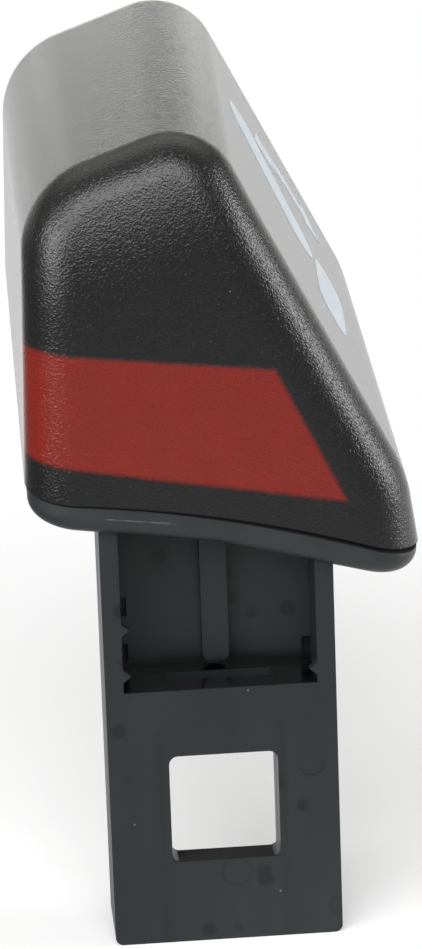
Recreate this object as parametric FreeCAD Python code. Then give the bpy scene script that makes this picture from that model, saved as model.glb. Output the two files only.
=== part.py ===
"""Seat recline handle: a plug-on grip for the flat steel lever of a reclining seat.

The handle stands upright, +Z up, with the tongue pointing down. X runs across the tongue, Y runs
along the grip, away from its near end. The origin is where the lever blade enters: the middle of the
blade's passage, at the lower end of the tongue. Sizes are in millimetres and angles in degrees.
"""
import FreeCAD, Part
import math
import os
from functools import lru_cache
from FreeCAD import Vector

# Grip, outer form
grip_length = 67.0            # near face to far face
shell_wall = 2.2
root_clearance = 0.3          # between the bracket's root and the shell around it
near_overhang = shell_wall + root_clearance   # near face ahead of the tongue's front
peak_x = 0.3                  # ridge between the top and the slanted face, at the near face
peak_height = 91.7
top_rise = 19.4               # the top rises toward the ridge
top_pitch = 1.6               # and a little toward the far end
face_lean = 27.0              # slanted face, measured from upright
face_yaw = 3.2                # the slanted face spreads toward the far end
left_reach = 19.55            # left wall from the tongue's middle, at left_reach_height
left_reach_height = 68.0
left_draft = 1.8
left_yaw = -0.2
skirt_reach = 21.8            # skirt below the slanted face, at the seam
skirt_reach_height = 45.5
skirt_lean = 8.0
skirt_yaw = 0.5
near_edge_radius = 5.6
far_edge_radius = 6.2
left_edge_radius = 10.0
peak_radius = 7.4
brow_depth = 8.5              # the near face leans back above this depth under its top
brow_lean = 20.0
brow_blend_radius = 30.0
skirt_blend_radius = 14.0
form_skirt = 25.0             # how far the form runs on below the seam before it is split

# Seam between the shell and the cap
seam_height = 49.65           # at the tongue's middle, under the near face
seam_fall = 11.15             # the seam falls toward the slanted face
seam_bow = 1.1                # and bows up in the middle
seam_span = 34.0              # width over which the bow is measured
seam_pitch = 9.0              # the seam rises toward the far end
seam_gap_left = 0.10          # the gap opens toward the slanted face
seam_gap_right = 0.42

# Base cap
cap_inset = 0.25              # cap stands back from the shell's outer wall
cap_edge = 3.4                # thickness of the visible edge
cap_edge_radius = 2.0
cap_slot_margin = 0.7         # room beside the tongue
cap_slot_front = 0.15         # room in front of the tongue
cap_slot_back = 0.6
inner_chamfer = 0.59          # chamfers inside, as a share of the round that they stand for
spigot_height = 3.0
spigot_wall = 1.4
spigot_clearance = 0.2
hook_width = 7.0
catch_width = 9.0
hook_wall = 1.5
hook_reach = 0.9              # overlap of a hook's barb and its catch
hook_clearance = 0.2
first_hook = 20.0             # distance from the near face
hook_pitch = 27.0
catch_low = 4.0               # catch heights above the seam
catch_high = 5.6
barb_height = 2.0

# Lever blade that the bracket takes
blade_width = 11.5
blade_thickness = 2.3
blade_clearance = 0.15

# Bracket, tongue
tongue_width = 25.0
tongue_depth = 9.5
flange_wall = 2.0
front_plate = 3.2
web_wall = 2.0
ledge_height = 29.4           # top of the ledge that parts the two channels
ledge_wall = 2.2
window_width = 11.85
window_low = 9.5
window_height = 12.3
window_corner_radius = 1.0
tongue_corner_radius = 0.9
guide_rib_wall = 1.4
bridge_wall = 1.8
bridge_height = 5.0
stiffener_width = 2.9
stiffener_stop = 0.7          # between its lower, rounded end and the ledge
nib_reach = 0.85
nib_height = 1.4
nib_depth = 1.0
nib_heights_left = (36.6, 31.3)
nib_heights_right = (31.0,)
nib_recess_height = 2.1       # blind recess in the web behind each nib
nib_recess_depth = 1.4
nib_recess_spare = 0.15       # how much wider it is than the nib
ejector_mark_radius = 1.5
ejector_mark_depth = 0.06
ejector_mark_x = 9.6
ejector_mark_height = 20.2

# Bracket, root and arm inside the shell
root_height = 66.0
arm_length = 52.0             # along the seam, from the near face
arm_width = 16.0
arm_plate = 2.6
arm_rib_height = 4.5
arm_rib_wall = 1.8
arm_lift = 6.5                # underside of the arm above the seam

# Screws and the shell's bosses for them
first_screw = 27.0            # along the seam, from the near face
screw_pitch = 18.0
screw_diameter = 3.6
screw_length = 11.0           # under the head
screw_head_diameter = 7.4
screw_head_height = 2.4
screw_hole_clearance = 0.3
pilot_clearance = 0.05
pilot_spare_depth = 1.0
boss_diameter = 8.4

# Red band, a coat on the near end, level with the shell
band_depth = 0.25
band_left_x = -18.0
band_left_top = 68.6
band_left_bottom = 56.4
band_right_top_x = 6.7
band_right_top = 65.6
band_right_bottom_x = 13.9
band_right_bottom = 50.7
band_corner_radius = 1.2
band_wrap = 9.0               # how far it runs back along the left wall

far_away = 150.0              # longer than the part, for cutting tools
touching = 1e-4               # how near a point counts as lying in a plane


def rotated(vector, axis, angle):
    """The vector turned about an axis by an angle in degrees."""
    return FreeCAD.Rotation(axis, angle).multVec(vector)


def half_space(point, normal):
    """A block that fills everything on the normal's side of a plane."""
    side = 6 * far_away
    block = Part.makeBox(side, side, side, Vector(-side / 2, -side / 2, 0))
    block.Placement = FreeCAD.Placement(point, FreeCAD.Rotation(Vector(0, 0, 1), normal))
    return block


def box(x_range, y_range, z_range):
    """A box from its limits along each axis."""
    low = Vector(x_range[0], y_range[0], z_range[0])
    return Part.makeBox(x_range[1] - low.x, y_range[1] - low.y, z_range[1] - low.z, low)


tongue_front = -(front_plate + blade_clearance + blade_thickness / 2)
tongue_back = tongue_front + tongue_depth
near_face_y = tongue_front - near_overhang
far_face_y = near_face_y + grip_length
form_floor = seam_height - form_skirt
blade_half_width = blade_width / 2 + blade_clearance
blade_back = blade_thickness / 2 + blade_clearance
flange_inner = tongue_width / 2 - flange_wall
web_front = tongue_back - web_wall
screw_stations = (first_screw, first_screw + screw_pitch)
hook_places = [(side, station) for side in (-1, 1) for station in (first_hook, first_hook + hook_pitch)]
nib_places = [(-1, height) for height in nib_heights_left] + [(1, height) for height in nib_heights_right]
x_axis = Vector(1, 0, 0)
y_axis = Vector(0, 1, 0)
z_axis = Vector(0, 0, 1)


def grip_planes(inset):
    """The grip's outer planes, each a point and an outward normal, moved inward by the inset."""
    top_normal = rotated(rotated(z_axis, x_axis, top_pitch), y_axis, -top_rise)
    face_normal = rotated(rotated(x_axis, y_axis, -face_lean), z_axis, -face_yaw)
    left_normal = rotated(rotated(-x_axis, y_axis, left_draft), z_axis, left_yaw)
    skirt_normal = rotated(rotated(x_axis, y_axis, -skirt_lean), z_axis, -skirt_yaw)
    peak = Vector(peak_x, near_face_y, peak_height)
    top_upright = rotated(z_axis, y_axis, -top_rise)
    planes = {
        "near": (Vector(0, near_face_y, 0), -y_axis),
        "far": (Vector(0, far_face_y, 0), y_axis),
        "brow": (peak - top_upright * brow_depth, -y_axis * math.cos(math.radians(brow_lean))
                 + top_upright * math.sin(math.radians(brow_lean))),
        "left": (Vector(-left_reach, near_face_y, left_reach_height), left_normal),
        "top": (peak, top_normal),
        "face": (peak, face_normal),
        "skirt": (Vector(skirt_reach, near_face_y, skirt_reach_height), skirt_normal),
    }
    return {name: (point - normal * inset, normal) for name, (point, normal) in planes.items()}


def edges_on(solid, *planes):
    """The solid's edges that lie in every one of the planes."""
    found = []
    for edge in solid.Edges:
        middle = edge.valueAt((edge.FirstParameter + edge.LastParameter) / 2)
        spots = [middle] + [vertex.Point for vertex in edge.Vertexes]
        if all(abs((spot - point).dot(normal)) < touching for spot in spots for point, normal in planes):
            found.append(edge)
    return found


@lru_cache(maxsize=None)
def grip_core(inset=0.0):
    """The grip's closed form with its long edges rounded, while its two ends are still sharp."""
    planes = grip_planes(inset)
    solid = box((-far_away, far_away), (-far_away, far_away), (form_floor, far_away))
    for point, normal in planes.values():
        solid = solid.cut(half_space(point, normal))
    long_rounds = (("face", "skirt", skirt_blend_radius), ("left", "top", left_edge_radius),
                   ("top", "face", peak_radius), ("near", "brow", brow_blend_radius))
    for side_a, side_b, radius in long_rounds:
        solid = solid.makeFillet(radius - inset, edges_on(solid, planes[side_a], planes[side_b]))
    return solid


def faces_toward(solid, direction, spread):
    """The solid's faces whose middle faces a direction, give or take some degrees."""
    found = []
    for face in solid.Faces:
        low_u, high_u, low_v, high_v = face.ParameterRange
        normal = face.normalAt((low_u + high_u) / 2, (low_v + high_v) / 2)
        if normal.dot(direction) > math.cos(math.radians(spread)):
            found.append(face)
    return found


def outline(faces):
    """The edges that only one of the faces has."""
    counts = {}
    for face in faces:
        for edge in face.Edges:
            counts.setdefault(edge.hashCode(), []).append(edge)
    return [edges[0] for edges in counts.values() if len(edges) == 1]


def end_rim(solid, direction):
    """The rim of the end that faces a direction, without its edge on the form's floor."""
    on_floor = [edge.hashCode() for edge in edges_on(solid, (Vector(0, 0, form_floor), -z_axis))]
    rim = outline(faces_toward(solid, direction, brow_lean + 1))
    return [edge for edge in rim if edge.hashCode() not in on_floor]


@lru_cache(maxsize=None)
def grip_form(inset=0.0):
    """The grip's closed form with rounded ends, before it is split and hollowed."""
    solid = grip_core(inset)
    for direction, radius in ((-y_axis, near_edge_radius), (y_axis, far_edge_radius)):
        solid = solid.makeFillet(radius - inset, end_rim(solid, direction))
    return solid


@lru_cache(maxsize=None)
def inner_form(inset):
    """The form of what lies inside: its ends have plain chamfers in place of the rounds."""
    solid = grip_core(inset)
    for direction, radius in ((-y_axis, near_edge_radius), (y_axis, far_edge_radius)):
        chamfer = inner_chamfer * (radius - inset)
        solid = solid.makeChamfer(chamfer, end_rim(solid, direction))
    return solid


def seam_line(lift_left, lift_right):
    """Three points of the seam's section under the near face, lifted at its two ends."""
    half = seam_span / 2
    fall = half * math.tan(math.radians(seam_fall))
    left = Vector(-half, near_face_y, seam_height - seam_bow + fall + lift_left)
    right = Vector(half, near_face_y, seam_height - seam_bow - fall + lift_right)
    middle = (left + right) / 2 + Vector(0, 0, seam_bow)
    return left, middle, right


def seam_slab(low, high, low_right=None, high_right=None):
    """The layer between two heights above the seam, over the whole plan."""
    lower = seam_line(low, low if low_right is None else low_right)
    upper = seam_line(high, high if high_right is None else high_right)
    edges = []
    rims = []
    for left, middle, right in (lower, upper):
        arc = Part.Arc(left, middle, right)
        start = arc.tangent(arc.FirstParameter)[0].normalize()
        stop = arc.tangent(arc.LastParameter)[0].normalize()
        far_left = left - start * far_away / 2
        far_right = right + stop * far_away / 2
        edges += [Part.LineSegment(far_left, left).toShape(), arc.toShape(),
                  Part.LineSegment(right, far_right).toShape()]
        rims.append((far_left, far_right))
    for end in (0, 1):
        edges.append(Part.LineSegment(rims[0][end], rims[1][end]).toShape())
    section = Part.Face(Part.Wire(Part.__sortEdges__(edges)))
    along = rotated(y_axis, x_axis, seam_pitch)
    section.translate(-along * far_away / 2)
    return section.extrude(along * 2 * far_away)


seam_frame = FreeCAD.Placement(Vector(0, near_face_y, seam_height),
                               FreeCAD.Rotation(x_axis, seam_pitch))


def on_seam(shape):
    """The shape, drawn with X across, Y along the seam and Z up from it, set in its place."""
    placed = shape.copy()
    placed.Placement = seam_frame.multiply(shape.Placement)
    return placed


def cap_slab(low, high):
    """A layer of the cap, below the seam by the gap that opens toward the slanted face."""
    return seam_slab(low - seam_gap_left, high - seam_gap_left,
                     low - seam_gap_right, high - seam_gap_right)


@lru_cache(maxsize=None)
def wall_layer(outer_inset, inner_inset):
    """The layer that follows the inside of the grip's wall between two insets."""
    return inner_form(outer_inset).cut(inner_form(inner_inset))


@lru_cache(maxsize=None)
def side_layer(outer_inset, inner_inset):
    """The same layer along the two long walls, away from the ends."""
    return grip_core(outer_inset).cut(grip_core(inner_inset))


def prism(points, depth):
    """A prism along Y from the outline of its near face."""
    outline = Part.makePolygon(list(points) + [points[0]])
    return Part.Face(outline).extrude(y_axis * depth)


def hook_zone(side, station, width):
    """The stretch of one long wall where a hook of the cap meets its catch."""
    across = (-far_away, 0) if side < 0 else (0, far_away)
    return on_seam(box(across, (station - width / 2, station + width / 2), (-far_away, far_away)))


def red_band():
    """The coat on the near face, which wraps round the left corner."""
    width = band_right_top_x - band_left_x
    top_slope = (band_right_top - band_left_top) / width
    bottom_slope = (band_right_bottom - band_left_bottom) / (band_right_bottom_x - band_left_x)
    outline = (Vector(2 * band_left_x, 0, band_left_top + top_slope * band_left_x),
               Vector(band_right_top_x, 0, band_right_top),
               Vector(band_right_bottom_x, 0, band_right_bottom),
               Vector(2 * band_left_x, 0, band_left_bottom + bottom_slope * band_left_x))
    stencil = prism(outline, near_edge_radius + band_wrap)
    corners = []
    for edge in stencil.Edges:
        start, end = (vertex.Point for vertex in edge.Vertexes)
        if start.x > 0 and start.distanceToPoint(Vector(end.x, start.y, end.z)) < touching:
            corners.append(edge)
    stencil = stencil.makeFillet(band_corner_radius, corners)
    stencil.translate(y_axis * near_face_y)
    return grip_form().cut(grip_form(band_depth)).common(stencil)


def grip_shell():
    """The hollow outer shell, open underneath, with screw bosses and catches moulded in."""
    shell = grip_form().cut(inner_form(shell_wall))
    boss_low = arm_lift + arm_plate
    for station in screw_stations:
        boss = Part.makeCylinder(boss_diameter / 2, far_away, Vector(0, station, boss_low))
        shell = shell.fuse(on_seam(boss).common(grip_core(shell_wall / 2)))
    catch = side_layer(shell_wall / 2, shell_wall + hook_reach).common(seam_slab(catch_low, catch_high))
    for side, station in hook_places:
        shell = shell.fuse(catch.common(hook_zone(side, station, catch_width)))
    shell = shell.cut(seam_slab(-2 * form_skirt, 0))
    pilot_depth = screw_length - arm_plate + pilot_spare_depth
    for station in screw_stations:
        pilot = Part.makeCylinder(screw_diameter / 2 + pilot_clearance, pilot_depth,
                                  Vector(0, station, boss_low))
        shell = shell.cut(on_seam(pilot))
    return shell.cut(red_band()).removeSplitter()


def below_cap():
    """Everything under the cap: its underside is two planes that meet under the seam's middle."""
    left, middle, right = seam_line(-cap_edge - seam_gap_left, -cap_edge - seam_gap_right)
    along = rotated(y_axis, x_axis, seam_pitch)
    lower_sides = [half_space(middle, along.cross(span)) for span in (middle - left, right - middle)]
    return lower_sides[0].common(lower_sides[1])


def base_cap():
    """The closing plate under the shell, with a spigot, snap hooks and the bracket's slot."""
    plate = grip_form(cap_inset).common(cap_slab(-far_away / 2, 0)).cut(below_cap())
    plate = plate.makeFillet(cap_edge_radius, outline(faces_toward(plate, -z_axis, 30)))
    spigot_outer = shell_wall + spigot_clearance
    spigot = wall_layer(spigot_outer, spigot_outer + spigot_wall)
    cap = plate.fuse(spigot.common(cap_slab(-cap_edge / 2, spigot_height)))
    hook_outer = shell_wall + hook_reach + hook_clearance
    barb_low = catch_high + hook_clearance
    beam = side_layer(hook_outer, hook_outer + hook_wall)
    beam = beam.common(seam_slab(-cap_edge / 2, barb_low + barb_height))
    barb = side_layer(shell_wall + hook_clearance, hook_outer + hook_wall)
    barb = barb.common(seam_slab(barb_low, barb_low + barb_height))
    for side, station in hook_places:
        cap = cap.fuse(beam.fuse(barb).common(hook_zone(side, station, hook_width)))
    half_slot = tongue_width / 2 + cap_slot_margin
    slot = box((-half_slot, half_slot), (tongue_front - cap_slot_front, tongue_back + cap_slot_back),
               (form_floor, root_height))
    return cap.cut(slot).removeSplitter()


def tongue():
    """The bracket's upright: an open channel at the front above, at the back below."""
    half = tongue_width / 2
    body = box((-half, half), (tongue_front, tongue_back), (0, root_height))
    corners = []
    for edge in body.Edges:
        ends = [vertex.Point for vertex in edge.Vertexes]
        if ends[0].z + ends[1].z < touching and abs(ends[0].y - ends[1].y) > touching:
            corners.append(edge)
    body = body.makeFillet(tongue_corner_radius, corners)
    inside = (-flange_inner, flange_inner)
    below_ledge = ledge_height - ledge_wall
    body = body.cut(box(inside, (tongue_front - 1, web_front), (ledge_height, root_height + 1)))
    body = body.cut(box(inside, (-blade_back, tongue_back + 1), (-1, below_ledge)))
    for side in (-1, 1):
        rib_x = sorted((side * blade_half_width, side * (blade_half_width + guide_rib_wall)))
        body = body.fuse(box(rib_x, (-blade_back, blade_back), (0, below_ledge)))
    body = body.fuse(box(inside, (blade_back, blade_back + bridge_wall), (0, bridge_height)))
    passage = box((-blade_half_width, blade_half_width), (-blade_back, blade_back), (0, ledge_height))
    body = body.cut(passage)
    half_window = window_width / 2
    window = box((-half_window, half_window), (tongue_front - 1, -blade_back),
                 (window_low, window_low + window_height))
    along_y = [edge for edge in window.Edges if abs(edge.tangentAt(edge.FirstParameter).y) > 0.5]
    body = body.cut(window.makeFillet(window_corner_radius, along_y))
    return body.fuse(pocket_stiffener())


def pocket_stiffener():
    """The rib down the middle of the pocket's web, rounded at its lower end."""
    half = stiffener_width / 2
    round_height = ledge_height + stiffener_stop + half
    rib = box((-half, half), (blade_back, web_front), (round_height, root_height))
    tip = Part.makeCylinder(half, web_front - blade_back, Vector(0, blade_back, round_height), y_axis)
    return rib.fuse(tip)


def nib(side, height):
    """A pointed retaining nib at the front inner edge of a flange."""
    root_x = side * flange_inner
    tip_x = side * (flange_inner - nib_reach)
    outline = (Vector(root_x, tongue_front, height - nib_height / 2),
               Vector(tip_x, tongue_front, height),
               Vector(root_x, tongue_front, height + nib_height / 2))
    return prism(outline, nib_depth)


def nib_recess(side, height):
    """The blind recess in the web behind a nib."""
    across = sorted((side * flange_inner, side * (flange_inner - nib_reach - nib_recess_spare)))
    return box(across, (web_front, web_front + nib_recess_depth),
               (height - nib_recess_height / 2, height + nib_recess_height / 2))


def ejector_mark():
    """The shallow round mark of a mould's ejector pin in the tongue's front."""
    centre = Vector(ejector_mark_x, tongue_front, ejector_mark_height)
    return Part.makeCylinder(ejector_mark_radius, ejector_mark_depth, centre, y_axis)


def bracket_arm():
    """The ribbed arm that runs along the grip and carries its screws."""
    half = arm_width / 2
    top = arm_lift + arm_plate
    arm = box((-half, half), (0, arm_length), (arm_lift, top))
    for side in (-1, 1):
        rib_x = sorted((side * half, side * (half - arm_rib_wall)))
        profile = (Vector(rib_x[0], 0, top), Vector(rib_x[0], 0, top + arm_rib_height),
                   Vector(rib_x[0], arm_length - arm_rib_height, top + arm_rib_height),
                   Vector(rib_x[0], arm_length, top))
        outline = Part.makePolygon(list(profile) + [profile[0]])
        arm = arm.fuse(Part.Face(outline).extrude(x_axis * arm_rib_wall))
    for station in screw_stations:
        hole = Part.makeCylinder(screw_diameter / 2 + screw_hole_clearance, arm_plate,
                                 Vector(0, station, arm_lift))
        arm = arm.cut(hole)
    arm = on_seam(arm)
    return arm.common(half_space(Vector(0, web_front + web_wall / 2, 0), y_axis))


def bracket():
    """The tongue that takes the lever blade, in one moulding with its arm in the shell."""
    body = tongue()
    for side, height in nib_places:
        body = body.fuse(nib(side, height)).cut(nib_recess(side, height))
    body = body.cut(ejector_mark()).fuse(bracket_arm())
    inside_shell = inner_form(shell_wall + root_clearance)
    above = seam_slab(0, far_away)
    return body.cut(above).fuse(body.common(above).common(inside_shell)).removeSplitter()


def bracket_screws():
    """The screws that pull the arm up against the shell's bosses."""
    screws = []
    for station in screw_stations:
        head = Part.makeCylinder(screw_head_diameter / 2, screw_head_height,
                                 Vector(0, station, arm_lift - screw_head_height))
        rim = min(head.Edges, key=lambda edge: edge.BoundBox.ZMax)
        head = head.makeChamfer(screw_head_height / 3, [rim])
        shank = Part.makeCylinder(screw_diameter / 2, screw_length, Vector(0, station, arm_lift))
        screws.append(on_seam(head.fuse(shank).removeSplitter()))
    return Part.makeCompound(screws)


os.makedirs("parts", exist_ok=True)
for make_piece in (grip_shell, red_band, base_cap, bracket, bracket_screws):
    make_piece().exportStep("parts/" + make_piece.__name__ + ".step")
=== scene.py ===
"""Looks of the seat recline handle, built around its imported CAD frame.

Lengths are in metres, apart from the outlines that say they are in millimetres.
"""
import math

import bmesh
import bpy
from mathutils import Matrix, Vector


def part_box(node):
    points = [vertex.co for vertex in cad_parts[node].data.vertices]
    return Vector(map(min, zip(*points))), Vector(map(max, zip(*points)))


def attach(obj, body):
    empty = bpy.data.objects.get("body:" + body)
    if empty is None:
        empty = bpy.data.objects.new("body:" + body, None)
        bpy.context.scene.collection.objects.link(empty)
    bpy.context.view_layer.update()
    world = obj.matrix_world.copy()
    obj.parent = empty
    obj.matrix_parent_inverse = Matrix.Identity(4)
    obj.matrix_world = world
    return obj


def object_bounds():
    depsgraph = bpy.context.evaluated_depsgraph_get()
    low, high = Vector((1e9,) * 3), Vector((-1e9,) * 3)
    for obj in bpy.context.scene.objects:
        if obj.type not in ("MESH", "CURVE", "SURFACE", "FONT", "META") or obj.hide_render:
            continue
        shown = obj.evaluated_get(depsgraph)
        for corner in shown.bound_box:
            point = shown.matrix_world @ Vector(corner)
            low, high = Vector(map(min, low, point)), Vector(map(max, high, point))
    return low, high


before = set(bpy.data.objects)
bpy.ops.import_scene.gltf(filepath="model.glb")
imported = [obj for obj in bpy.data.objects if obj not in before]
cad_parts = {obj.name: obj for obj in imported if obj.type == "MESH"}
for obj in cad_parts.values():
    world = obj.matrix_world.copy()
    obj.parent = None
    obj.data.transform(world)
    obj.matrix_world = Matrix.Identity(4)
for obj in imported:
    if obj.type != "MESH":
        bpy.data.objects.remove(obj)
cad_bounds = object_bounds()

MM = 0.001

# Camera, fitted to the photograph; angles in degrees
PICTURE_HEIGHT = 949
VIEW_AZIMUTH = 3.98
VIEW_ELEVATION = 18.09
VIEW_ROLL = -2.04
VIEW_DISTANCE = 485 * MM
VIEW_AIM = Vector((-0.255, -4.5, 53.665)) * MM
PIXELS_PER_RADIAN = 9.418 * 485
SENSOR = 36.0

# Materials, as linear colours
SHELL_BLACK = (0.0062, 0.0066, 0.0064)
BAND_RED = (0.138, 0.0060, 0.0022)
BASE_GREY = (0.0094, 0.0126, 0.0138)
CAP_GREY = (0.0145, 0.0180, 0.0190)
PRINT_WHITE = (0.42, 0.47, 0.52)
STEEL_DARK = (0.38, 0.38, 0.39)
STEEL_LIGHT = (0.52, 0.52, 0.53)
DUST = (0.5, 0.5, 0.48)
RUBBED = (0.4, 0.42, 0.43)
SCUFFED = (0.16, 0.17, 0.18)
SHADE = (0, 0, 0)

# Fine relief: how many features to the metre, and how high
GRAIN_RIDGES = 3000.0
GRAIN_PITS = 4200.0
GRAIN_PIT_SHARE = 0.45
GRAIN_HEIGHT = 0.06 * MM
PRINT_GRAIN_HEIGHT = 0.03 * MM
SMOOTH_RELIEF = 5200.0
SMOOTH_HEIGHT = 0.012 * MM
TURNING_MARKS = 6000.0
TURNING_HEIGHT = 0.01 * MM

# Painted band: its outline on the near face, as X and Z in millimetres, and how soft its edge is
BAND_TOP = ((-18.0, 68.6), (6.7, 65.6))
BAND_RIGHT = ((6.7, 65.6), (13.9, 50.7))
BAND_BOTTOM = ((13.9, 50.7), (-18.0, 56.4))
BAND_FADE = 0.40 * MM
BAND_RAGGED = 0.06 * MM

# Joint between shell and cap under the near face: its height at the middle, its fall toward +X,
# its bow over the half width, its rise toward the far end, and the gap below it at each side
JOINT_HEIGHT = 49.65 * MM
JOINT_FALL = 0.197
JOINT_BOW = 1.1 * MM
JOINT_HALF = 17.0 * MM
JOINT_RISE = 0.158
JOINT_GAP_LEFT = 0.10 * MM
JOINT_GAP_RIGHT = 0.42 * MM
LIP_SHADE = 0.22 * MM

# Faint upright bands on the tongue's lower half, by their X in millimetres
SINK_BANDS = (-6.85, 6.55)
SINK_TOP = 27.0 * MM
SINK_FADE = 4.0 * MM
SINK_HALF_WIDTH = 0.9 * MM

# Faint rings moulded into the tongue, by the X and Z of their middles in millimetres
GATE_MARK = (12.1, 3.2)
GATE_RADIUS = 0.9 * MM
CURVED_MARK = (1.05, 8.0)
CURVED_RADIUS = 1.6 * MM
RING_LINE = 0.05 * MM
RING_FADE = 0.25 * MM

# Places of the tongue that stay in shade: just above the ledge in its pocket, and the window's sill
LEDGE_TOP = 29.4 * MM
LEDGE_SHADE = 1.8 * MM
POCKET_FRONT = -4.4 * MM
POCKET_BACK = 4.0 * MM
POCKET_HALF_WIDTH = 10.5 * MM
SILL_HEIGHT = 9.5 * MM
SILL_HALF_WIDTH = 5.93 * MM
FACE_MARGIN = 0.05 * MM

# Pale scuff along the cap's edge: its height at the middle, its fall toward +X, its half width,
# and where it starts and ends in X
SCUFF_HEIGHT = 48.54 * MM
SCUFF_FALL = 0.131
SCUFF_WIDTH = 0.14 * MM
SCUFF_START = (-12.2 * MM, -11.6 * MM)
SCUFF_END = (-5.5 * MM, -3.6 * MM)

# Printed sign on the slanted face
SIGN_THICKNESS = 0.02 * MM
ARROW_HEAD_SPREAD = 0.8

# Light: the sweep behind, the ceiling over it, the rest of the room, and the fill on matt surfaces
WARM_WHITE = (1.0, 1.0, 0.955)
SWEEP_LOW = 1.2
SWEEP_HIGH = 0.12
CEILING = 1.5
ROOM = 0.1
FILL = 0.3
LAMP_AIM = Vector((0, 20, 65)) * MM

# Floor: what glossy surfaces see far in front, under the tongue and behind, and on the left,
# and how much of its own white shows to the camera near the handle
FLOOR_WHITE = (0.9, 0.9, 0.9, 1)
TABLE_FRONT = 0.12
TABLE_MIDDLE = 0.62
TABLE_BEHIND_GAIN = 0.60
TABLE_LEFT = 0.12
SHADOW_SHARE = 0.24
SHADOW_REACH = (0.07, 0.16)


def make_camera():
    """The photograph's viewing angle, from a little above the grip's near end."""
    azimuth = math.radians(VIEW_AZIMUTH)
    elevation = math.radians(VIEW_ELEVATION)
    forward = Vector((math.sin(azimuth) * math.cos(elevation),
                      math.cos(azimuth) * math.cos(elevation), -math.sin(elevation)))
    level = Vector((math.cos(azimuth), -math.sin(azimuth), 0))
    raised = level.cross(forward)
    roll = math.radians(VIEW_ROLL)
    right = math.cos(roll) * level + math.sin(roll) * raised
    up = right.cross(forward)
    data = bpy.data.cameras.new("camera")
    data.sensor_width = SENSOR
    data.lens = SENSOR * PIXELS_PER_RADIAN / PICTURE_HEIGHT
    data.clip_start = 0.01
    camera = bpy.data.objects.new("camera", data)
    bpy.context.collection.objects.link(camera)
    turn = Matrix((right, up, -forward)).transposed().to_4x4()
    camera.matrix_world = Matrix.Translation(VIEW_AIM - forward * VIEW_DISTANCE) @ turn
    bpy.context.scene.camera = camera


class Nodes:
    """A short way to write a node tree."""

    def __init__(self, tree):
        tree.nodes.clear()
        self.tree = tree

    def add(self, kind, inputs=None, **settings):
        """A node with its settings and inputs; an input is a value or another node's output."""
        node = self.tree.nodes.new("ShaderNode" + kind)
        for name, value in settings.items():
            setattr(node, name, value)
        for name, value in (inputs or {}).items():
            socket = node.inputs[name]
            if isinstance(value, bpy.types.NodeSocket):
                self.tree.links.new(value, socket)
            else:
                socket.default_value = value
        return node

    def math(self, operation, first, second=0.0):
        """The result of a sum on one or two values."""
        return self.add("Math", {0: first, 1: second}, operation=operation).outputs[0]

    def axes(self, position):
        """The X, Y and Z of a position."""
        return self.add("SeparateXYZ", {0: position}).outputs

    def ramp(self, value, low, high, low_result=0.0, high_result=1.0):
        """A smooth step from one result to another as the value goes from low to high."""
        inputs = {"Value": value, "From Min": low, "From Max": high,
                  "To Min": low_result, "To Max": high_result}
        return self.add("MapRange", inputs, interpolation_type="SMOOTHSTEP").outputs[0]

    def noise(self, position, scale, detail=3.0, stretch=(1, 1, 1)):
        """Noise with so many features to the metre, drawn out along the axes by the stretch."""
        drawn_out = self.add("VectorMath", {0: position, 1: [1 / s for s in stretch]}, operation="MULTIPLY")
        inputs = {"Vector": drawn_out.outputs[0], "Scale": scale, "Detail": detail}
        return self.add("TexNoise", inputs).outputs["Fac"]

    def blend(self, share, first, second):
        """A colour between two colours."""
        mixed = self.add("Mix", {0: share}, data_type="RGBA")
        for name, colour in (("A", first), ("B", second)):
            socket = [s for s in mixed.inputs if s.name == name and s.type == "RGBA"][0]
            if isinstance(colour, bpy.types.NodeSocket):
                self.tree.links.new(colour, socket)
            else:
                socket.default_value = tuple(colour) + (1,)
        return [s for s in mixed.outputs if s.type == "RGBA"][0]

    def surface(self, colour, rough, relief, height, strength=1.0, metallic=0.0):
        """The material's output: a shader with a colour, a roughness and a fine relief."""
        bump = self.add("Bump", {"Height": relief, "Strength": strength, "Distance": height})
        shader = self.add("BsdfPrincipled", {"Base Color": colour, "Roughness": rough,
                                             "Metallic": metallic, "Normal": bump.outputs[0]})
        self.add("OutputMaterial", {"Surface": shader.outputs[0]})


def material(name):
    """An empty node material and its node writer."""
    made = bpy.data.materials.new(name)
    made.use_nodes = True
    return made, Nodes(made.node_tree)


def scaled(colour, factor):
    """A lighter or darker colour."""
    return tuple(channel * factor for channel in colour)


def distance_inside(nodes, position, line):
    """How far a point of the near face lies to the right-hand side of a line in X and Z."""
    (x1, z1), (x2, z2) = line
    length = math.hypot(x2 - x1, z2 - z1)
    inward = Vector((z2 - z1, 0, -(x2 - x1))) / length
    along = nodes.add("VectorMath", {0: position, 1: inward}, operation="DOT_PRODUCT")
    return nodes.math("SUBTRACT", along.outputs["Value"], inward.dot(Vector((x1, 0, z1)) * MM))


def band_share(nodes, position):
    """One inside the painted band and none outside, with a soft, slightly ragged edge."""
    inside = distance_inside(nodes, position, BAND_TOP)
    for line in (BAND_RIGHT, BAND_BOTTOM):
        inside = nodes.math("MINIMUM", inside, distance_inside(nodes, position, line))
    back = nodes.axes(position)["Y"]
    band_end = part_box("red_band")[1][1]
    inside = nodes.math("MINIMUM", inside, nodes.math("SUBTRACT", band_end, back))
    ragged = nodes.ramp(nodes.noise(position, 1800.0), 0.3, 0.7, -BAND_RAGGED, BAND_RAGGED)
    return nodes.ramp(nodes.math("ADD", inside, ragged), -BAND_FADE, BAND_FADE)


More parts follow.
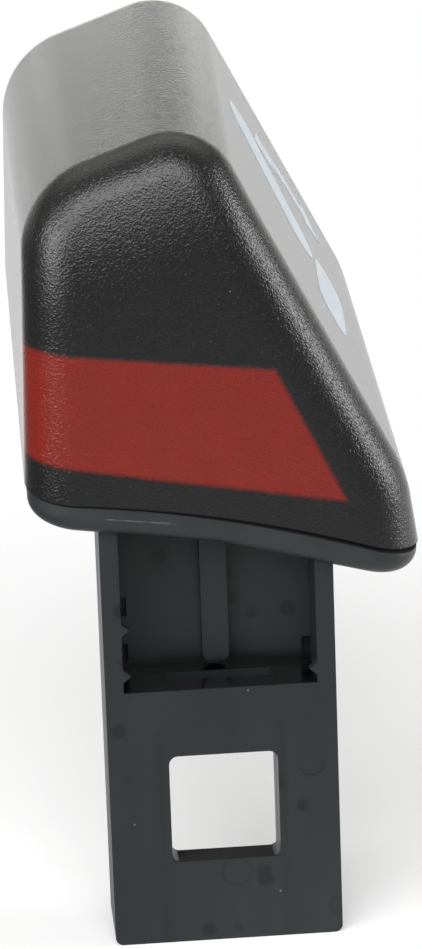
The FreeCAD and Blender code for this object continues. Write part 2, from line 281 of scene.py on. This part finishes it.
def specks(nodes, position, scale, size, chance):
    """Scattered round specks: one where there is a speck and none elsewhere."""
    cells = nodes.add("TexVoronoi", {"Vector": position, "Scale": scale})
    near = nodes.ramp(cells.outputs["Distance"], size * 0.6, size, 1.0, 0.0)
    chosen = nodes.add("SeparateColor", {0: cells.outputs["Color"]}).outputs[0]
    return nodes.math("MULTIPLY", near, nodes.math("LESS_THAN", chosen, chance))


def joint_shade(nodes, position):
    """One beside the joint's gap, where the lips shade each other, and none elsewhere."""
    axes = nodes.axes(position)
    across = axes["X"]
    bowed = nodes.math("MULTIPLY", nodes.math("MULTIPLY", across, across), JOINT_BOW / JOINT_HALF ** 2)
    fall = nodes.math("MULTIPLY", across, JOINT_FALL)
    behind = nodes.math("SUBTRACT", axes["Y"], cad_bounds[0][1])
    rise = nodes.math("MULTIPLY", behind, JOINT_RISE)
    lifted = nodes.math("ADD", axes["Z"], nodes.math("ADD", fall, bowed))
    above = nodes.math("SUBTRACT", nodes.math("SUBTRACT", lifted, rise), JOINT_HEIGHT)
    gap = nodes.ramp(across, -JOINT_HALF, JOINT_HALF, JOINT_GAP_LEFT, JOINT_GAP_RIGHT)
    half_gap = nodes.math("MULTIPLY", gap, 0.5)
    from_middle = nodes.math("ABSOLUTE", nodes.math("ADD", above, half_gap))
    beyond = nodes.math("SUBTRACT", from_middle, half_gap)
    return nodes.ramp(beyond, LIP_SHADE * 0.5, LIP_SHADE, 1.0, 0.0)


def cap_scuff(nodes, position):
    """One along the pale scuff on the cap's edge and none elsewhere, with a streaky strength."""
    streaks = nodes.ramp(nodes.noise(position, 2500.0, 4.0, stretch=(3, 1, 1)), 0.3, 0.7, 0.15, 1.0)
    axes = nodes.axes(position)
    slope = nodes.math("ADD", axes["Z"], nodes.math("MULTIPLY", axes["X"], SCUFF_FALL))
    low = nodes.ramp(slope, SCUFF_HEIGHT - SCUFF_WIDTH, SCUFF_HEIGHT)
    high = nodes.ramp(slope, SCUFF_HEIGHT, SCUFF_HEIGHT + SCUFF_WIDTH, 1.0, 0.0)
    left = nodes.ramp(axes["X"], *SCUFF_START)
    right = nodes.ramp(axes["X"], *SCUFF_END, 1.0, 0.0)
    line = nodes.math("MULTIPLY", nodes.math("MULTIPLY", low, high), nodes.math("MULTIPLY", left, right))
    return nodes.math("MULTIPLY", line, streaks)


def tongue_marks(nodes, position):
    """How strong the sink bands and the small rings are on the tongue's near face."""
    axes = nodes.axes(position)
    across, back, height = (axes[name] for name in ("X", "Y", "Z"))
    below = nodes.ramp(height, SINK_TOP - SINK_FADE, SINK_TOP, 0.35, 0.0)
    marks = 0.0
    for middle in SINK_BANDS:
        off = nodes.math("ABSOLUTE", nodes.math("SUBTRACT", across, middle * MM))
        strip = nodes.ramp(off, 0.0, SINK_HALF_WIDTH, 1.0, 0.0)
        marks = nodes.math("MAXIMUM", marks, nodes.math("MULTIPLY", strip, below))
    for (x, z), radius in ((GATE_MARK, GATE_RADIUS), (CURVED_MARK, CURVED_RADIUS)):
        level = nodes.add("CombineXYZ", {0: across, 2: height}).outputs[0]
        away = nodes.add("VectorMath", {0: level, 1: (x * MM, 0, z * MM)}, operation="DISTANCE")
        off = nodes.math("ABSOLUTE", nodes.math("SUBTRACT", away.outputs["Value"], radius))
        marks = nodes.math("MAXIMUM", marks, nodes.ramp(off, RING_LINE, RING_FADE, 0.6, 0.0))
    return nodes.math("MULTIPLY", marks, nodes.math("LESS_THAN", back, 0.0))


def tongue_shade(nodes, position):
    """How deep a spot lies in the shade at the pocket's foot, and whether it is on the sill."""
    axes = nodes.axes(position)
    across, back, height = (axes[name] for name in ("X", "Y", "Z"))
    fading = nodes.ramp(height, LEDGE_TOP + 0.1 * MM, LEDGE_TOP + LEDGE_SHADE, 0.9, 0.0)
    above = nodes.math("MULTIPLY", fading, nodes.math("GREATER_THAN", height, LEDGE_TOP - FACE_MARGIN))
    aside = nodes.math("ABSOLUTE", across)
    within = nodes.math("LESS_THAN", aside, POCKET_HALF_WIDTH)
    off_middle = nodes.math("ABSOLUTE", nodes.math("SUBTRACT", back, (POCKET_FRONT + POCKET_BACK) / 2))
    deep = nodes.math("LESS_THAN", off_middle, (POCKET_BACK - POCKET_FRONT) / 2)
    pocket = nodes.math("MULTIPLY", above, nodes.math("MULTIPLY", within, deep))
    off_sill = nodes.math("ABSOLUTE", nodes.math("SUBTRACT", height, SILL_HEIGHT))
    at_height = nodes.math("LESS_THAN", off_sill, FACE_MARGIN)
    sill = nodes.math("MULTIPLY", at_height, nodes.math("LESS_THAN", aside, SILL_HALF_WIDTH))
    return pocket, sill


def moulded_grain(nodes, position):
    """Leather-like grain of the moulded shell: worm-like ridges with finer pits in them."""
    ridges = nodes.add("TexNoise", {"Vector": position, "Scale": GRAIN_RIDGES, "Detail": 1.5,
                                    "Distortion": 0.9}).outputs["Fac"]
    pits = nodes.add("TexVoronoi", {"Vector": position, "Scale": GRAIN_PITS}).outputs["Distance"]
    return nodes.math("ADD", ridges, nodes.math("MULTIPLY", pits, GRAIN_PIT_SHARE))


def shell_look(name):
    """Grained black plastic with pale dust specks, the band's paint fading out at its edge, and painted
    shade along the joint.
    """
    made, nodes = material(name)
    position = nodes.add("TexCoord").outputs["Object"]
    grain = moulded_grain(nodes, position)
    clouds = nodes.noise(position, 90.0, 4.0)
    black = nodes.blend(clouds, scaled(SHELL_BLACK, 0.8), scaled(SHELL_BLACK, 1.2))
    patches = nodes.noise(position, 500.0, 4.0)
    paint = nodes.blend(patches, scaled(BAND_RED, 0.85), scaled(BAND_RED, 1.12))
    cover = nodes.ramp(grain, 0.42, 0.60, 0.72, 1.0)
    colour = nodes.blend(nodes.math("MULTIPLY", band_share(nodes, position), cover), black, paint)
    dust = specks(nodes, position, scale=900.0, size=0.08, chance=0.03)
    colour = nodes.blend(nodes.math("MULTIPLY", dust, 0.35), colour, DUST)
    shade = joint_shade(nodes, position)
    colour = nodes.blend(shade, colour, SHADE)
    grazing = nodes.add("LayerWeight", {"Blend": 0.5}).outputs["Facing"]
    rough = nodes.math("MAXIMUM", nodes.ramp(grazing, 0.45, 0.95, 0.31, 0.20), shade)
    nodes.surface(colour, rough, grain, GRAIN_HEIGHT)
    return made


def base_look(name, grey, is_cap):
    """Smooth grey plastic with faint flow clouds, pale rubbed spots, the piece's own marks, and painted
    shade: along the cap's joint, and in the tongue's pocket and on its sill.
    """
    made, nodes = material(name)
    position = nodes.add("TexCoord").outputs["Object"]
    clouds = nodes.noise(position, 120.0, 5.0, stretch=(1, 1, 2.5))
    colour = nodes.blend(clouds, scaled(grey, 0.6), scaled(grey, 1.4))
    rubbed = specks(nodes, position, scale=700.0, size=0.10, chance=0.06)
    colour = nodes.blend(nodes.math("MULTIPLY", rubbed, 0.25), colour, RUBBED)
    rough = nodes.ramp(clouds, 0.3, 0.7, 0.40, 0.48)
    if is_cap:
        scuff = nodes.math("MULTIPLY", cap_scuff(nodes, position), 0.45)
        colour = nodes.blend(scuff, colour, SCUFFED)
        shade = joint_shade(nodes, position)
        colour = nodes.blend(shade, colour, SHADE)
        rough = nodes.math("MAXIMUM", rough, shade)
    else:
        stains = specks(nodes, position, scale=260.0, size=0.30, chance=0.5)
        colour = nodes.blend(nodes.math("MULTIPLY", stains, 0.7), colour, scaled(grey, 0.2))
        colour = nodes.blend(tongue_marks(nodes, position), colour, scaled(grey, 0.4))
        pocket, sill = tongue_shade(nodes, position)
        colour = nodes.blend(nodes.math("MAXIMUM", pocket, sill), colour, SHADE)
        glossier = nodes.math("MULTIPLY", rough, nodes.ramp(pocket, 0.0, 1.0, 1.0, 0.4))
        rough = nodes.math("MAXIMUM", glossier, sill)
    relief = nodes.noise(position, SMOOTH_RELIEF, 2.0)
    nodes.surface(colour, rough, relief, SMOOTH_HEIGHT, strength=0.4)
    return made


def steel_look():
    """Zinc-plated steel with fine turning marks."""
    made, nodes = material("screw_steel")
    position = nodes.add("TexCoord").outputs["Object"]
    clouds = nodes.noise(position, 900.0, 4.0)
    colour = nodes.blend(clouds, STEEL_DARK, STEEL_LIGHT)
    marks = nodes.noise(position, TURNING_MARKS, 2.0, stretch=(1, 1, 0.3))
    rough = nodes.ramp(clouds, 0.3, 0.7, 0.25, 0.38)
    nodes.surface(colour, rough, marks, TURNING_HEIGHT, strength=0.3, metallic=1.0)
    return made


def print_look():
    """White printed ink, a little thin and streaky over the grain."""
    made, nodes = material("print_ink")
    position = nodes.add("TexCoord").outputs["Object"]
    streaks = nodes.noise(position, 500.0, 4.0, stretch=(1, 6, 1))
    colour = nodes.blend(streaks, scaled(PRINT_WHITE, 0.8), scaled(PRINT_WHITE, 1.15))
    rough = nodes.ramp(streaks, 0.3, 0.7, 0.35, 0.5)
    nodes.surface(colour, rough, moulded_grain(nodes, position), PRINT_GRAIN_HEIGHT, strength=0.4)
    return made


def dress_nodes():
    """Materials on the CAD nodes."""
    looks = {
        "grip_shell": shell_look("shell_plastic"),
        "red_band": shell_look("band_coat"),
        "base_cap": base_look("cap_plastic", CAP_GREY, is_cap=True),
        "bracket": base_look("bracket_plastic", BASE_GREY, is_cap=False),
        "bracket_screws": steel_look(),
    }
    for name, look in looks.items():
        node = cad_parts[name]
        node.data.materials.clear()
        node.data.materials.append(look)


def slanted_face():
    """The middle of the grip's slanted face, its normal, and its directions along and down."""
    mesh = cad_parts["grip_shell"].data
    leaning = [p for p in mesh.polygons if p.normal.x > 0.8 and 0.40 < p.normal.z < 0.50]
    normal = max(leaning, key=lambda p: p.area).normal.copy()
    flat = [p for p in leaning if p.normal.dot(normal) > 0.99999]
    corners = [mesh.vertices[i].co for p in flat for i in p.vertices]
    along = (Vector((0, 1, 0)) - normal * normal.y).normalized()
    down = along.cross(normal)
    down = down if down.z < 0 else -down
    middle = Vector()
    for axis in (along, down, normal):
        spots = [corner.dot(axis) for corner in corners]
        middle += axis * (min(spots) + max(spots)) / 2
    return middle, normal, along, down


def bar(start, end, radius, steps=10):
    """The outline of a bar with round ends."""
    start = Vector(start)
    end = Vector(end)
    heading = math.atan2(end.y - start.y, end.x - start.x)
    outline = []
    for centre, first in ((end, -90), (start, 90)):
        for step in range(steps + 1):
            turn = heading + math.radians(first + 180 * step / steps)
            outline.append(centre + Vector((math.cos(turn), math.sin(turn))) * radius)
    return outline


def arrow_arc(centre, radius, width, first, last, head, steps=24):
    """The outline of an arrow that curves from one angle to another, with a head at each end."""
    centre = Vector(centre)

    def spot(distance, degrees):
        turn = math.radians(degrees)
        return centre + Vector((math.cos(turn), math.sin(turn))) * distance

    turns = [first + (last - first) * step / steps for step in range(steps + 1)]
    reach = math.degrees(head / radius)
    spread = head * ARROW_HEAD_SPREAD
    outer = [spot(radius + width / 2, degrees) for degrees in turns]
    last_head = [spot(radius + spread, last), spot(radius, last + reach), spot(radius - spread, last)]
    inner = [spot(radius - width / 2, degrees) for degrees in reversed(turns)]
    first_head = [spot(radius - spread, first), spot(radius, first - reach), spot(radius + spread, first)]
    return outer + last_head + inner + first_head


def make_sign():
    """A plain sign of a seat whose back reclines, printed on the slanted face.

    Its shapes are drawn in millimetres from the face's middle, along the grip and down the slope.
    """
    middle, normal, along, down = slanted_face()
    shapes = {
        "cushion": bar(start=(-9.5, 6.8), end=(2.0, 7.2), radius=3.2),
        "backrest": bar(start=(1.5, -0.6), end=(7.0, -11.5), radius=4.0),
        "arrow": arrow_arc(centre=(1.5, 4.0), radius=16.5, width=3.0, first=-38, last=-4, head=4.4),
    }
    look = print_look()
    for name, outline in shapes.items():
        mesh = bmesh.new()
        ring = [mesh.verts.new(middle + (along * spot.x + down * spot.y) * MM) for spot in outline]
        face = mesh.faces.new(ring)
        face.normal_update()
        if face.normal.dot(normal) < 0:
            face.normal_flip()
        raised = bmesh.ops.extrude_face_region(mesh, geom=[face])
        for vertex in (item for item in raised["geom"] if isinstance(item, bmesh.types.BMVert)):
            vertex.co += normal * SIGN_THICKNESS
        bmesh.ops.recalc_face_normals(mesh, faces=mesh.faces)
        data = bpy.data.meshes.new("sign_" + name)
        mesh.to_mesh(data)
        mesh.free()
        data.materials.append(look)
        piece = bpy.data.objects.new("sign_" + name, data)
        bpy.context.collection.objects.link(piece)
        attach(piece, "root")


def make_floor():
    """A plain pale floor that keeps the handle's shadow and shows white elsewhere."""
    bpy.ops.mesh.primitive_plane_add(size=6, location=(0, 0, cad_bounds[0][2]))
    floor = bpy.context.active_object
    floor.name = "floor"
    made, nodes = material("floor")
    rays = nodes.add("LightPath")
    glossy = rays.outputs["Is Glossy Ray"]
    place = nodes.add("TexCoord").outputs["Object"]
    axes = nodes.axes(place)
    front = nodes.ramp(axes["Y"], -0.24, -0.15, TABLE_FRONT, TABLE_MIDDLE)
    table = nodes.math("ADD", front, nodes.ramp(axes["Y"], -0.05, 0.08, 0.0, TABLE_BEHIND_GAIN))
    from_side = nodes.math("MULTIPLY", nodes.math("ABSOLUTE", axes["Y"]), 0.45)
    turned = nodes.math("ADD", axes["X"], from_side)
    table = nodes.math("MULTIPLY", table, nodes.ramp(turned, -0.07, 0.02, TABLE_LEFT, 1.0))
    strength = nodes.add("Mix", {0: glossy, 2: 1.0, 3: table}).outputs[0]
    white = nodes.add("Emission", {"Color": (1, 1, 1, 1), "Strength": strength})
    diffuse = nodes.add("BsdfDiffuse", {"Color": FLOOR_WHITE})
    away = nodes.add("VectorMath", {0: place}, operation="LENGTH").outputs["Value"]
    plain = nodes.ramp(away, *SHADOW_REACH, SHADOW_SHARE, 1.0)
    share = nodes.math("MAXIMUM", nodes.math("MULTIPLY", rays.outputs["Is Camera Ray"], plain), glossy)
    mixed = nodes.add("MixShader", {0: share, 1: diffuse.outputs[0], 2: white.outputs[0]})
    nodes.add("OutputMaterial", {"Surface": mixed.outputs[0]})
    floor.data.materials.append(made)


def make_world():
    """White to the camera; to surfaces, a pale sweep behind and a darker room elsewhere."""
    world = bpy.data.worlds.new("studio")
    bpy.context.scene.world = world
    world.use_nodes = True
    nodes = Nodes(world.node_tree)
    rays = nodes.add("LightPath")
    direction = nodes.axes(nodes.add("TexCoord").outputs["Generated"])
    behind = nodes.ramp(direction["Y"], 0.3, 0.75)
    sweep = nodes.math("MULTIPLY", behind, nodes.ramp(direction["Z"], 0.12, 0.31, SWEEP_LOW, SWEEP_HIGH))
    high = nodes.ramp(direction["Z"], 0.48, 0.80, 0.0, CEILING)
    overhead = nodes.math("MULTIPLY", high, nodes.ramp(direction["Y"], -0.05, 0.40))
    room = nodes.math("ADD", ROOM, nodes.math("ADD", sweep, overhead))
    seen = nodes.add("Mix", {0: rays.outputs["Is Glossy Ray"], 2: FILL, 3: room})
    strength = nodes.add("Mix", {0: rays.outputs["Is Camera Ray"], 2: seen.outputs[0], 3: 1.0})
    tint = nodes.blend(rays.outputs["Is Camera Ray"], WARM_WHITE, (1, 1, 1))
    background = nodes.add("Background", {"Color": tint, "Strength": strength.outputs[0]})
    nodes.add("OutputWorld", {"Surface": background.outputs[0]})


def softbox(name, azimuth, elevation, distance, width, height, radiance):
    """A soft area light aimed at the grip, placed by its direction from it in degrees."""
    azimuth = math.radians(azimuth)
    elevation = math.radians(elevation)
    direction = Vector((math.sin(azimuth) * math.cos(elevation),
                        -math.cos(azimuth) * math.cos(elevation), math.sin(elevation)))
    data = bpy.data.lights.new(name, "AREA")
    data.shape = "RECTANGLE"
    data.size = width
    data.size_y = height
    data.energy = radiance * math.pi * width * height
    lamp = bpy.data.objects.new(name, data)
    lamp.visible_camera = False
    bpy.context.collection.objects.link(lamp)
    turn = (-direction).to_track_quat("-Z", "Y").to_matrix().to_4x4()
    lamp.matrix_world = Matrix.Translation(LAMP_AIM + direction * distance) @ turn


def make_lamps():
    """Three softboxes in front of the grip and a narrow one close behind it."""
    softbox("softbox_top", azimuth=-10, elevation=40, distance=1.0, width=0.8, height=0.6, radiance=6.5)
    softbox("softbox_right", azimuth=84, elevation=8, distance=1.0, width=0.3, height=0.6, radiance=13.0)
    softbox("softbox_left", azimuth=-52, elevation=15, distance=1.0, width=0.6, height=0.45, radiance=9.0)
    softbox("softbox_behind", azimuth=180, elevation=18, distance=0.145, width=0.12, height=0.024,
            radiance=1.4)


make_camera()
make_world()
make_floor()
make_lamps()
dress_nodes()
make_sign()

scene = bpy.context.scene
scene.view_settings.view_transform = "Standard"
